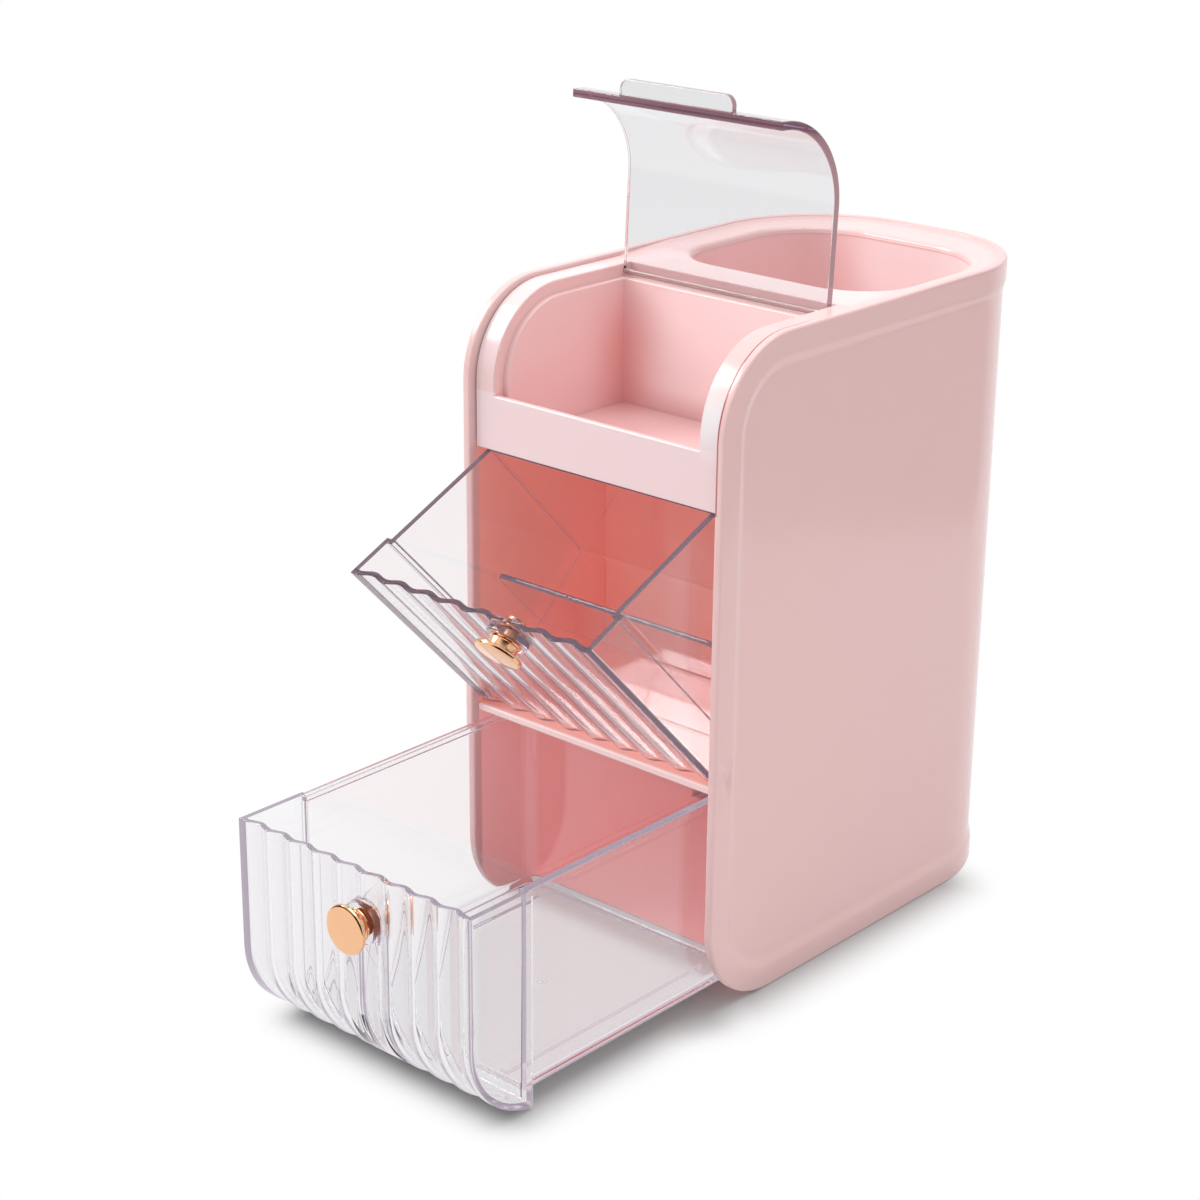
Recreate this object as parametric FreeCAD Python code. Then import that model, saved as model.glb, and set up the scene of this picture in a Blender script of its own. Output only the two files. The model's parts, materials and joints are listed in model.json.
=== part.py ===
import FreeCAD
import Part
import math
import os

# Desktop storage unit: shell, top tray with lid, pen cup, tilt-out bin and drawer.
# Millimetres, +Z up, the front faces -Y. The origin is the middle of the shell's footprint.
# The drawer stands open, the bin is tilted out and the lid is up.

# Shell
width = 110.0
depth = 180.0
height = 225.0
wall = 3.2
rear_flat = 20.0
front_radius = 31.0
rim = 3.0
dish = 1.4
dish_slope = 12.0
edge_radius = 1.2

# Clearances, and the overrun of every cut
fit_gap = 0.2
run_gap = 0.3
pin_gap = 0.05
overrun = 5.0

# Ribs inside the shell that carry the base plate, the shelf and the tray
rib_height = 2.0
rib_width = 2.0
ledge_lift = 0.7
ledge_width = 3.0

# Base plate, its foot pads and its screws
base_thickness = 3.0
base_front_gap = 1.2
pad_radius = 5.0
pad_edge = 13.8
pad_inset = 12.0
post_edge = 26.8
post_radius = 4.0
post_rear_inset = 22.0
base_screw_radius = 1.5
base_screw_length = 14.0
base_screw_head_radius = 2.8
base_screw_head = 1.8

# Shelf and the wall behind the bin
recess = 2.6
drawer_bay_share = 0.4531
shelf_thickness = 2.6
bay_slot = 2.2
bay_back_gap = 1.2

# Top tray and deck
top_drop = 1.4
band_width = 8.6
band_radius = 30.0
rebate = 4.4
step_width = 2.0
skin = 2.4
tray_height = 53.3
rail_clear = 3.3
floor_lift = 1.8
tray_length = 58.4
groove_width = 4.8

# Pen cup
cup_front_gap = 13.8
cup_rear_gap = 16.1
cup_side_gap = 9.3
cup_side_shift = 2.4
cup_front_radius_share = 0.27
cup_rear_radius_share = 0.375
cup_wall = 2.0
cup_floor = 2.4

# Lid, its hinge rod and its finger tab
lid_thickness = 2.8
lid_inset = 1.1
lid_side_gap = 0.3
lid_end_gap = 0.5
lid_open = 93.0
barrel_radius = 1.6
rod_radius = 0.8
rod_seat = 3.5
hinge_back = 2.9
tab_width = 46.0
tab_length = 5.5
tab_thickness = 2.2
tab_radius = 3.5

# Clear mouldings: the drawer and the bin
clear_wall = 2.0
side_gap = 1.2
box_inset = 2.0
flute_swing = 1.3
corner_flat = 2.6

# Bin
bin_open = 44.0
bin_flutes = 8
bin_flange = 17.0
bin_lift = 0.6
bin_top_gap = 2.0
bin_pivot_radius = 3.6
bin_sweep_gap = 1.4
bin_stop_gap = 0.95
bin_corner_radius = 3.0
pin_radius = 1.5
pin_recess = 0.6
dimple_radius = 2.3
divider_thickness = 1.8
divider_share = 0.51
divider_height = 32.0
divider_chamfer = 2.0

# Drawer
drawer_kept = 25.1
drawer_rear_room = 46.9
drawer_flutes = 9
drawer_flange = 26.7
drawer_floor_clear = 1.1
drawer_radius = 30.0
drawer_top_gap = 2.8
lip_width = 1.2
lip_height = 2.4
box_radius = 6.0

# Knobs
knob_radius = 8.1
knob_cap = 1.9
knob_neck = 2.9
knob_collar_radius = 5.4
knob_collar_step = 0.5
knob_collar = 0.8
knob_rounding = 0.8
boss_radius = 7.2
boss_proud = 1.4
screw_radius = 1.5
screw_depth = 3.6
screw_head_radius = 3.0
screw_head = 1.8
washer_radius = 4.4
washer_thickness = 0.8
bin_knob_side = 11.5
bin_knob_drop = 10.5
drawer_knob_side = 4.5
drawer_knob_drop = 17.0

# Places that follow from the sizes
quarter_turn = 90.0
x_axis = FreeCAD.Vector(1, 0, 0)
y_axis = FreeCAD.Vector(0, 1, 0)
z_axis = FreeCAD.Vector(0, 0, 1)
front = -depth / 2
rear_radius = (width - rear_flat) / 2
inner_half = width / 2 - wall
bend_y = front + depth - rear_radius
face_y = front + recess
base_low = ledge_lift + rib_height
base_top = base_low + base_thickness
base_front = face_y + drawer_flange + base_front_gap
deck_top = height - top_drop
deck_low = deck_top - skin
rail_bottom = height - tray_height
rail_top = deck_top - band_radius - rail_clear
shelf_height = drawer_bay_share * rail_bottom
shelf_top = shelf_height + shelf_thickness
tray_low = rail_bottom + floor_lift
tray_half = inner_half - fit_gap
band_inner = tray_half - band_width
pocket_half = band_inner - step_width
ledge_top = deck_top - rebate
pocket_back = face_y + skin + tray_length
deck_front = pocket_back + skin + groove_width
hinge_y = pocket_back + hinge_back
hinge_z = deck_top - lid_inset - lid_thickness / 2
lid_half = band_inner - lid_side_gap
clear_half = inner_half - side_gap
box_half = clear_half - box_inset
pivot_y = face_y + bin_pivot_radius
pivot_z = shelf_top + bin_lift + bin_pivot_radius
bin_low = shelf_top + bin_lift
bin_top = rail_bottom - bin_top_gap

# The bin's rear top corner clears the tray as it swings and stops just behind the rail.
bin_turn = math.radians(bin_open)
bin_stop_y = face_y + skin + bin_stop_gap - pivot_y
bin_reach = tray_low - bin_sweep_gap - pivot_z
bin_depth = bin_reach * math.sin(bin_turn + math.asin(bin_stop_y / bin_reach))
bin_back_y = pivot_y + bin_depth
bin_back_top = pivot_z + (bin_depth * math.cos(bin_turn) - bin_stop_y) / math.sin(bin_turn)
bay_back_y = max(bin_back_y + bay_back_gap, pocket_back + skin + bay_slot)

# Cup, drawer and feet
cup_half = inner_half - cup_side_gap
cup_near = bay_back_y + skin + cup_front_gap + cup_wall
cup_far = front + depth - wall - cup_rear_gap
cup_front_radius = cup_front_radius_share * (cup_far - cup_near)
cup_rear_radius = cup_rear_radius_share * (cup_far - cup_near)
drawer_length = depth - recess - drawer_rear_room
drawer_open = recess + drawer_length - drawer_kept
pad_side = inner_half - pad_edge
post_side = inner_half - post_edge
drawer_top = shelf_height - drawer_top_gap
box_low = base_top + run_gap
pad_rear_y = bend_y + pad_inset
post_y = front + depth - wall - post_rear_inset
hinge_point = FreeCAD.Vector(0, hinge_y, hinge_z)
pivot_point = FreeCAD.Vector(0, pivot_y, pivot_z)


# Shapes that several pieces use

def block(x0, x1, y0, y1, z0, z1):
    return Part.makeBox(x1 - x0, y1 - y0, z1 - z0, FreeCAD.Vector(x0, y0, z0))


def rod(radius, start, end):
    along = end - start
    return Part.makeCylinder(radius, along.Length, start, along)


def fuse(shapes):
    return shapes[0].fuse(shapes[1:]).removeSplitter()


def mirrored(shape):
    return shape.mirror(FreeCAD.Vector(0, 0, 0), x_axis)


def upright(a, b):
    """Side view: a runs back, b runs up."""
    return FreeCAD.Vector(0, a, b)


def level(a, b):
    """Top view: a runs to the right, b runs back."""
    return FreeCAD.Vector(a, b, 0)


def rounded_loop(corners, place):
    """Closed wire through corners (a, b, radius), laid in space by place."""
    edges = []
    last_end = None
    first_start = None
    for index, (a, b, radius) in enumerate(corners):
        here = FreeCAD.Vector(a, b, 0)
        before = FreeCAD.Vector(*corners[index - 1][:2], 0)
        after = FreeCAD.Vector(*corners[(index + 1) % len(corners)][:2], 0)
        to_before = (before - here).normalize()
        to_after = (after - here).normalize()
        half_angle = to_before.getAngle(to_after) / 2
        start = here + to_before * (radius / math.tan(half_angle))
        end = here + to_after * (radius / math.tan(half_angle))
        if last_end is not None:
            edges.append(line_edge(last_end, start, place))
        if radius > 0:
            inward = (to_before + to_after).normalize()
            middle = here + inward * (radius / math.sin(half_angle) - radius)
            points = [place(p.x, p.y) for p in (start, middle, end)]
            edges.append(Part.Arc(*points).toShape())
        if first_start is None:
            first_start = start
        last_end = end
    edges.append(line_edge(last_end, first_start, place))
    return Part.Wire(edges)


def line_edge(start, end, place):
    return Part.LineSegment(place(start.x, start.y), place(end.x, end.y)).toShape()


def side_solid(corners, x0, x1):
    """Side-view outline stretched from x0 to x1."""
    face = Part.Face(rounded_loop(corners, upright))
    face.translate(x_axis * x0)
    return face.extrude(x_axis * (x1 - x0))


def plan_solid(corners, z0, z1):
    """Top-view outline stretched from z0 to z1."""
    face = Part.Face(rounded_loop(corners, level))
    face.translate(z_axis * z0)
    return face.extrude(z_axis * (z1 - z0))


def inside_plan(gap, front_y):
    """Outline of a plate that fills the shell with a gap all round, from front_y to the rear."""
    half = inner_half - gap
    back = front + depth - wall - gap
    bend = rear_radius - wall - gap
    return [(-half, front_y, 0), (half, front_y, 0), (half, back, bend), (-half, back, bend)]


def wave_edges(half, count, level_y, swing):
    """Smooth wave of arcs along X: flat ends at level_y, count hollows that reach swing behind it."""
    pitch = 2 * half / count
    quarter = pitch / 4
    sag = swing / 2
    radius = (quarter * quarter + sag * sag) / (2 * sag)
    turn = math.asin(quarter / radius) / 2
    side = radius * math.sin(turn)
    rise = radius * (1 - math.cos(turn))
    edges = []
    for index in range(count):
        left = -half + index * pitch
        right = left + pitch
        crest_left = level(left, level_y)
        down = level(left + quarter, level_y + sag)
        hollow = level(left + 2 * quarter, level_y + swing)
        up = level(right - quarter, level_y + sag)
        crest_right = level(right, level_y)
        edges.append(Part.Arc(crest_left, level(left + side, level_y + rise), down).toShape())
        edges.append(Part.Arc(down, hollow, up).toShape())
        edges.append(Part.Arc(up, level(right - side, level_y + rise), crest_right).toShape())
    return edges


def fluted_face(half, count, outer_y):
    """Top-view section of a fluted sheet: both faces follow the same wave."""
    wave_half = half - corner_flat
    inner_y = outer_y + clear_wall
    edges = wave_edges(wave_half, count, outer_y, flute_swing)
    edges += wave_edges(wave_half, count, inner_y, flute_swing)
    for sign in (-1, 1):
        near = level(sign * wave_half, outer_y)
        near_end = level(sign * half, outer_y)
        far_end = level(sign * half, inner_y)
        far = level(sign * wave_half, inner_y)
        edges.append(Part.LineSegment(near, near_end).toShape())
        edges.append(Part.LineSegment(near_end, far_end).toShape())
        edges.append(Part.LineSegment(far_end, far).toShape())
    return Part.Face(Part.Wire(Part.__sortEdges__(edges)))


# Housing

def wall_section():
    """Cut through the right wall: flat inside, dished outside between a top and a bottom rim."""
    outer = width / 2
    dished = outer - dish
    corners = [
        (inner_half, 0, 0), (outer, 0, edge_radius), (outer, rim, 0), (dished, rim + dish_slope, 0),
        (dished, height - rim - dish_slope, 0), (outer, height - rim, 0), (outer, height, edge_radius),
        (inner_half, height, 0)]
    wire = rounded_loop(corners, lambda a, b: FreeCAD.Vector(a, bend_y, b))
    return Part.Face(wire)


def panel_loop(inset, x):
    """Outline of a side wall's face, inset from its edge, running past the rear bend."""
    radius = front_radius - inset
    back = bend_y + overrun + dish_slope
    near = front + inset
    corners = [(near, inset, radius), (near, height - inset, radius), (back, height - inset, 0), (back, inset, 0)]
    return rounded_loop(corners, lambda a, b: FreeCAD.Vector(x, a, b))


def side_wall():
    """Right wall with its rounded front corners and the dish in its outer face."""
    outer = width / 2
    past = bend_y + overrun
    profile = [
        (front, 0, front_radius), (front, height, front_radius), (past, height, 0), (past, 0, 0)]
    plate = side_solid(profile, inner_half, outer)
    plate = plate.common(block(0, width, front - overrun, bend_y, -overrun, height + overrun))
    rounded = wall_section().extrude(y_axis * -depth)
    full = block(0, width / 2 - dish, front - depth, bend_y, -overrun, height + overrun)
    plate = plate.common(fuse([rounded, full, corner_strip()]))
    loops = [panel_loop(rim, outer + dish), panel_loop(rim, outer), panel_loop(rim + dish_slope, outer - dish)]
    return plate.cut(Part.makeLoft(loops, True, True))


def corner_strip():
    """Space that the right wall's rounded top and bottom edges leave for its plate."""
    outer = width / 2
    corners = [(inner_half, 0, 0), (outer, 0, edge_radius), (outer, height, edge_radius), (inner_half, height, 0)]
    wire = rounded_loop(corners, lambda a, b: FreeCAD.Vector(a, bend_y, b))
    return Part.Face(wire).extrude(y_axis * -depth)


def rear_half():
    """Right rear corner and the right half of the rear wall, with the same section as the wall."""
    section = wall_section()
    corner_axis = FreeCAD.Vector(rear_flat / 2, bend_y, 0)
    corner = section.revolve(corner_axis, z_axis, quarter_turn)
    turned = section.copy()
    turned.rotate(corner_axis, z_axis, quarter_turn)
    return [corner, turned.extrude(x_axis * (-rear_flat / 2))]


def shell_ribs():
    """Ribs on the right wall under the base plate, the shelf and the tray."""
    rib_x = inner_half - rib_width
    ledge_x = inner_half - ledge_width
    rib_front = face_y + skin + run_gap
    base_ledge = block(ledge_x, inner_half, base_front + run_gap, bend_y, ledge_lift, base_low)
    shelf_rib = block(rib_x, inner_half, rib_front, bend_y, shelf_height - rib_height, shelf_height)
    tray_rib = block(rib_x, inner_half, rib_front, pocket_back, tray_low - rib_height, tray_low)
    return [base_ledge, shelf_rib, tray_rib]


def outer_shell():
    right = fuse([side_wall()] + rear_half() + shell_ribs())
    shell = fuse([right, mirrored(right)])
    across = x_axis * (width / 2 + overrun)
    shell = shell.cut(rod(pin_radius + pin_gap, pivot_point - across, pivot_point + across))
    for sign in (-1, 1):
        dimple_floor = pivot_point + x_axis * (sign * (width / 2 - pin_recess))
        shell = shell.cut(rod(dimple_radius, dimple_floor, pivot_point + across * sign))
    return shell


def base_plate():
    plate = plan_solid(inside_plan(fit_gap, base_front), base_low, base_top)
    for sign in (-1, 1):
        under = FreeCAD.Vector(sign * post_side, post_y, base_low - overrun)
        over = FreeCAD.Vector(sign * post_side, post_y, base_top + overrun)
        plate = plate.cut(rod(base_screw_radius + pin_gap, under, over))
    return plate


def mid_shelf():
    """Shelf with two posts behind the drawer that the base screws hold."""
    plate = plan_solid(inside_plan(fit_gap, face_y), shelf_height, shelf_top)
    posts = []
    holes = []
    for sign in (-1, 1):
        foot = FreeCAD.Vector(sign * post_side, post_y, base_top)
        posts.append(rod(post_radius, foot, FreeCAD.Vector(foot.x, foot.y, shelf_height)))
        hole_top = foot + z_axis * (base_screw_length - base_thickness + run_gap)
        holes.append(rod(base_screw_radius + pin_gap, foot - z_axis * overrun, hole_top))
    return fuse([plate] + posts).cut(Part.makeCompound(holes))


def base_screws():
    screws = []
    for sign in (-1, 1):
        seat = FreeCAD.Vector(sign * post_side, post_y, base_low)
        head = rod(base_screw_head_radius, seat - z_axis * base_screw_head, seat)
        shank = rod(base_screw_radius, seat, seat + z_axis * base_screw_length)
        screws.append(fuse([head, shank]))
    return Part.makeCompound(screws)


def foot_pads():
    pads = []
    for sign in (-1, 1):
        for pad_y in (base_front + pad_inset, pad_rear_y):
            foot = FreeCAD.Vector(sign * pad_side, pad_y, 0)
            pads.append(rod(pad_radius, foot, foot + z_axis * base_low))
    return Part.makeCompound(pads)


def bay_back_panel():
    half = inner_half - fit_gap
    top = ledge_top - skin
    return block(-half, half, bay_back_y, bay_back_y + skin, shelf_top, top)


def arch(inset, back, low):
    """Side view of the tray's arch, inset from its surface, from its front to back and down to low."""
    radius = band_radius - inset
    near = face_y + inset
    return [(near, low, 0), (near, deck_top - inset, radius), (back, deck_top - inset, 0), (back, low, 0)]


def tray_cheek():
    """Right side of the tray: arched band, step for the lid and the pocket's wall, hollow outside."""
    back = deck_front + skin
    band = side_solid(arch(0, back, tray_low), band_inner, tray_half)
    step = side_solid(arch(rebate, back, tray_low), pocket_half, band_inner + step_width)
    hollow = side_solid(arch(skin, back + overrun, tray_low - overrun), band_inner + step_width, tray_half + overrun)
    behind = block(0, width, pocket_back + skin, back + overrun, 0, ledge_top - skin)
    return fuse([band.cut(hollow), step]).cut(behind)


def tray_pocket():
    """Front rail, floor, back wall and the groove behind it that the lid's barrel lies in."""
    rail = block(-tray_half, tray_half, face_y, face_y + skin, rail_bottom, rail_top)
    pocket_floor = block(-tray_half, tray_half, face_y, pocket_back + skin, tray_low, tray_low + skin)
    back_wall = block(-pocket_half, pocket_half, pocket_back, pocket_back + skin, tray_low, ledge_top)
    groove = block(-tray_half, tray_half, pocket_back, deck_front + skin, ledge_top - skin, ledge_top)
    deck_edge = block(-tray_half, tray_half, deck_front, deck_front + skin, ledge_top - skin, deck_top)
    return [rail, pocket_floor, back_wall, groove, deck_edge]


def cup_plan(grow):
    """Top-view outline of the cup, grown outwards."""
    left = cup_side_shift - cup_half - grow
    right = cup_side_shift + cup_half + grow
    near = cup_near - grow
    far = cup_far + grow
    front_bend = cup_front_radius + grow
    rear_bend = cup_rear_radius + grow
    return [(left, near, front_bend), (right, near, front_bend), (right, far, rear_bend), (left, far, rear_bend)]


def top_tray():
    cheek = tray_cheek()
    deck = plan_solid(inside_plan(fit_gap, deck_front), deck_low, deck_top)
    deck = deck.cut(plan_solid(cup_plan(0), deck_low - overrun, deck_top + overrun))
    tray = fuse([cheek, mirrored(cheek), deck] + tray_pocket())
    seat = x_axis * (band_inner + rod_seat)
    return tray.cut(rod(rod_radius + pin_gap, hinge_point - seat, hinge_point + seat))


def pen_cup():
    outside = plan_solid(cup_plan(cup_wall), shelf_top, deck_low)
    inside = plan_solid(cup_plan(0), shelf_top + cup_floor, deck_low + overrun)
    return outside.cut(inside)


def lid_hinge_rod():
    seat = x_axis * (band_inner + rod_seat - run_gap)
    return rod(rod_radius, hinge_point - seat, hinge_point + seat)


def pivot_pin(sign):
    inner = pivot_point + x_axis * (sign * (clear_half - clear_wall + pin_gap))
    outer = pivot_point + x_axis * (sign * (width / 2 - pin_recess))
    return rod(pin_radius, inner, outer)


# Lid

def lid():
    """Clear lid, modelled closed over the tray and then swung up about its rod."""
    end = rail_top + lid_end_gap
    outside = side_solid(arch(lid_inset, hinge_y, end), -lid_half, lid_half)
    inside = side_solid(arch(lid_inset + lid_thickness, hinge_y + overrun, end - overrun), -width, width)
    barrel = rod(barrel_radius, hinge_point - x_axis * lid_half, hinge_point + x_axis * lid_half)
    plate = fuse([outside.cut(inside), barrel, lid_tab(end)])
    across = x_axis * width
    plate = plate.cut(rod(rod_radius + pin_gap, hinge_point - across, hinge_point + across))
    plate.rotate(hinge_point, x_axis, -lid_open)
    return plate


def lid_tab(end):
    """Finger tab along the lid's front edge, with rounded corners."""
    near = face_y + lid_inset - tab_length
    far = face_y + lid_inset + lid_thickness / 2
    half = tab_width / 2
    corners = [(-half, near, tab_radius), (half, near, tab_radius), (half, far, 0), (-half, far, 0)]
    return plan_solid(corners, end, end + tab_thickness)


# Tilt-out bin, modelled closed and then swung out about its pins

def swung(shape):
    shape.rotate(pivot_point, x_axis, bin_open)
    return shape


def bin_edge(y):
    """Height of the bin's sloping top edge at y, which ends at the back wall."""
    share = (y - face_y) / (bin_back_y - clear_wall - face_y)
    return bin_top + share * (bin_back_top - bin_top)


def bin_front_side(far):
    """Side view of the bin's front and flange, under the sloping edge."""
    return [(face_y, bin_low, bin_pivot_radius), (face_y, bin_top, 0), (far, bin_edge(far), 0), (far, bin_low, 0)]


def bin_box_side(near):
    """Side view of the box behind the front, under the sloping edge and the level top of its back wall."""
    low_radius = bin_pivot_radius if near < pivot_y else 0
    return [(near, bin_low, low_radius), (near, bin_edge(near), 0), (bin_back_y - clear_wall, bin_back_top, 0),
            (bin_back_y, bin_back_top, 0), (bin_back_y, bin_low, bin_corner_radius)]


def bin_knob_place():
    return FreeCAD.Vector(bin_knob_side, face_y - boss_proud, bin_top - bin_knob_drop)


def bin_box():
    flange_end = face_y + bin_flange
    inner_y = face_y + flute_swing
    sheet = fluted_face(clear_half, bin_flutes, face_y)
    sheet.translate(z_axis * bin_low)
    sheet = sheet.extrude(z_axis * (bin_top - bin_low))
    sheet = sheet.common(side_solid(bin_front_side(flange_end), -width, width))
    flange = side_solid(bin_front_side(flange_end), -clear_half, clear_half)
    box = side_solid(bin_box_side(inner_y), -box_half, box_half)
    roof = height
    floor = bin_low + clear_wall
    in_flange = clear_half - clear_wall
    in_box = box_half - clear_wall
    flange_room = block(-in_flange, in_flange, front - overrun, flange_end - clear_wall, floor, roof)
    box_room = block(-in_box, in_box, front - overrun, bin_back_y - clear_wall, floor, roof)
    under_front = block(-in_flange, in_flange, front - overrun, inner_y, 0, roof)
    shape = fuse([flange, box]).cut(flange_room).cut(box_room).cut(under_front)
    shape = fuse([shape, sheet, knob_boss(bin_knob_place())])
    across = x_axis * width
    shape = shape.cut(rod(pin_radius + pin_gap, pivot_point - across, pivot_point + across))
    return swung(shape.cut(screw_hole(bin_knob_place())))


def bin_divider():
    half = box_half - clear_wall - fit_gap
    low = bin_low + clear_wall
    high = low + divider_height
    near = face_y + divider_share * (bin_back_y - face_y)
    shoulder = high - divider_chamfer
    shoulder_x = half - divider_chamfer
    points = [(-half, low), (half, low), (half, shoulder), (shoulder_x, high), (-shoulder_x, high),
              (-half, shoulder), (-half, low)]
    wire = Part.makePolygon([FreeCAD.Vector(x, near, z) for x, z in points])
    return swung(Part.Face(wire).extrude(y_axis * divider_thickness))


# Drawer, modelled closed and then pulled out

def pulled(shape):
    shape.translate(y_axis * -drawer_open)
    return shape


def drawer_knob_place():
    return FreeCAD.Vector(drawer_knob_side, face_y - boss_proud, drawer_top - drawer_knob_drop)


def drawer_sheet():
    """Fluted front that runs down, rounds under and goes back to the end of the flange."""
    bend_z = drawer_floor_clear + drawer_radius
    bend_point = FreeCAD.Vector(0, face_y + drawer_radius, bend_z)
    section = fluted_face(clear_half, drawer_flutes, face_y)
    section.translate(z_axis * bend_z)
    upper = section.extrude(z_axis * (drawer_top - bend_z))
    bend = section.revolve(bend_point, x_axis, quarter_turn)
    sheet = fuse([upper, bend])
    behind = face_y + drawer_flange
    return sheet.common(block(-width, width, front - overrun, behind, -overrun, height))


def drawer_box():
    step_y = face_y + drawer_flange - clear_wall
    back = face_y + drawer_length
    in_flange = clear_half - clear_wall
    in_box = box_half - clear_wall
    left = drawer_front_part(-clear_half, -in_flange, front)
    right = drawer_front_part(in_flange, clear_half, front)
    step = drawer_front_part(-clear_half, clear_half, step_y)
    room = block(-in_box, in_box, step_y, back - clear_wall, box_low + clear_wall, height)
    shape = fuse([drawer_sheet(), left, right, step, drawer_tub(step_y, back)] + drawer_lips(step_y, back))
    shape = fuse([shape.cut(room), knob_boss(drawer_knob_place())])
    return pulled(shape.cut(screw_hole(drawer_knob_place())))


def drawer_front_part(x0, x1, near):
    """Solid part of the drawer's rounded front from x0 to x1, between near and the end of its flange."""
    past = face_y + drawer_flange + drawer_radius
    side = [(face_y, drawer_floor_clear, drawer_radius), (face_y, drawer_top, 0),
            (past, drawer_top, 0), (past, drawer_floor_clear, 0)]
    whole = side_solid(side, x0, x1)
    return whole.common(block(-width, width, near, face_y + drawer_flange, 0, height))


def drawer_tub(near, back):
    """Outside of the narrower box behind the front, with rounded rear corners."""
    corners = [(-box_half, near, 0), (box_half, near, 0), (box_half, back, box_radius), (-box_half, back, box_radius)]
    return plan_solid(corners, box_low, drawer_top)


def drawer_lips(near, back):
    """Thicker rim along the top of the box's two long sides."""
    lips = []
    for sign in (-1, 1):
        x = sorted((sign * (box_half - clear_wall), sign * (box_half + lip_width)))
        lips.append(block(x[0], x[1], near, back - box_radius, drawer_top - lip_height, drawer_top))
    return lips


# Knobs and what holds them

def knob_boss(place):
    """Clear round pad that gives the knob a flat seat on the fluted front."""
    return rod(boss_radius, place, boss_back(place))


def screw_hole(place):
    return rod(screw_radius + pin_gap, place - y_axis * overrun, boss_back(place) + y_axis * overrun)


def knob(place):
    """Turned mushroom knob: collar, neck and a rounded cap, with a blind hole for its screw."""
    reach = knob_collar + knob_neck
    knob_neck_radius = knob_collar_radius - knob_collar_step
    profile = [
        (0, 0, 0), (knob_collar_radius, 0, 0), (knob_collar_radius, knob_collar, knob_rounding / 2),
        (knob_neck_radius, knob_collar, 0), (knob_neck_radius, reach, knob_rounding),
        (knob_radius, reach, knob_rounding), (knob_radius, reach + knob_cap, knob_rounding),
        (0, reach + knob_cap, 0)]
    wire = rounded_loop(profile, lambda a, b: place + FreeCAD.Vector(a, -b, 0))
    turned = Part.Face(wire).revolve(place, y_axis, 4 * quarter_turn)
    return turned.cut(rod(screw_radius + pin_gap, place + y_axis * overrun, place - y_axis * screw_depth))


def boss_back(place):
    return place + y_axis * (boss_proud + flute_swing + clear_wall)


def knob_washer(place):
    seat = boss_back(place)
    ring = rod(washer_radius, seat, seat + y_axis * washer_thickness)
    return ring.cut(rod(screw_radius + pin_gap, seat - y_axis * overrun, seat + y_axis * overrun))


def knob_screw(place):
    seat = boss_back(place) + y_axis * washer_thickness
    head = rod(screw_head_radius, seat, seat + y_axis * screw_head)
    shank = rod(screw_radius, seat, place - y_axis * (screw_depth - run_gap))
    return fuse([head, shank])


# Every piece under its name

pieces = {
    "outer_shell": outer_shell(),
    "base_plate": base_plate(),
    "base_screws": base_screws(),
    "foot_pads": foot_pads(),
    "mid_shelf": mid_shelf(),
    "bay_back_panel": bay_back_panel(),
    "top_tray": top_tray(),
    "pen_cup": pen_cup(),
    "lid_hinge_rod": lid_hinge_rod(),
    "bin_pivot_pin_left": pivot_pin(-1),
    "bin_pivot_pin_right": pivot_pin(1),
    "lid": lid(),
    "bin_box": bin_box(),
    "bin_divider": bin_divider(),
    "bin_knob": swung(knob(bin_knob_place())),
    "bin_knob_washer": swung(knob_washer(bin_knob_place())),
    "bin_knob_screw": swung(knob_screw(bin_knob_place())),
    "drawer_box": drawer_box(),
    "drawer_knob": pulled(knob(drawer_knob_place())),
    "drawer_knob_washer": pulled(knob_washer(drawer_knob_place())),
    "drawer_knob_screw": pulled(knob_screw(drawer_knob_place())),
}

os.makedirs("parts", exist_ok=True)
for name, shape in pieces.items():
    shape.exportStep(f"parts/{name}.step")
    print(name, "solids", len(shape.Solids), "valid", shape.isValid(), "volume", round(shape.Volume))
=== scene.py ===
# %% [markdown]
# # A desktop storage unit in pink and clear plastic
#
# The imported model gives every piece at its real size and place. This lesson dresses it: the shell, the
# drawer, the bin, the lid and the knobs are modelled again as finer meshes, and the other pieces are copied
# with softened edges. Every piece rides on its own body, so that it moves with the drawer, bin or lid.

# %% Load the model
import json
import math

import bmesh
import bpy
from mathutils import Matrix, Vector


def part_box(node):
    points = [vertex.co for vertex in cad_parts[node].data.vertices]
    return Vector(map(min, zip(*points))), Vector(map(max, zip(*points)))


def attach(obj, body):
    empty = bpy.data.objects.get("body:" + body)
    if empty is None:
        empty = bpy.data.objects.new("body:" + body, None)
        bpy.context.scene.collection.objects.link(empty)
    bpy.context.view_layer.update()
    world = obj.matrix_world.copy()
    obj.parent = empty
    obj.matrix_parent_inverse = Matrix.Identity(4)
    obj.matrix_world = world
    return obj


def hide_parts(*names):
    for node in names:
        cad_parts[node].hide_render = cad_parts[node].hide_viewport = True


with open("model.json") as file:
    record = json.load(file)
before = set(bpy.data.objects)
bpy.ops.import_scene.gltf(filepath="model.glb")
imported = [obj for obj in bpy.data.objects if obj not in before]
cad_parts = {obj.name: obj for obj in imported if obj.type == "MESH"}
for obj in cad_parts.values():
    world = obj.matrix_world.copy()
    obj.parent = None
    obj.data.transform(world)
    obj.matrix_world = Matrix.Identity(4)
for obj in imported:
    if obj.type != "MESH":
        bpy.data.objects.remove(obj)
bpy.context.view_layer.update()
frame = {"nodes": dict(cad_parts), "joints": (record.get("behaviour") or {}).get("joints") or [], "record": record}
mm = 0.001

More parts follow.
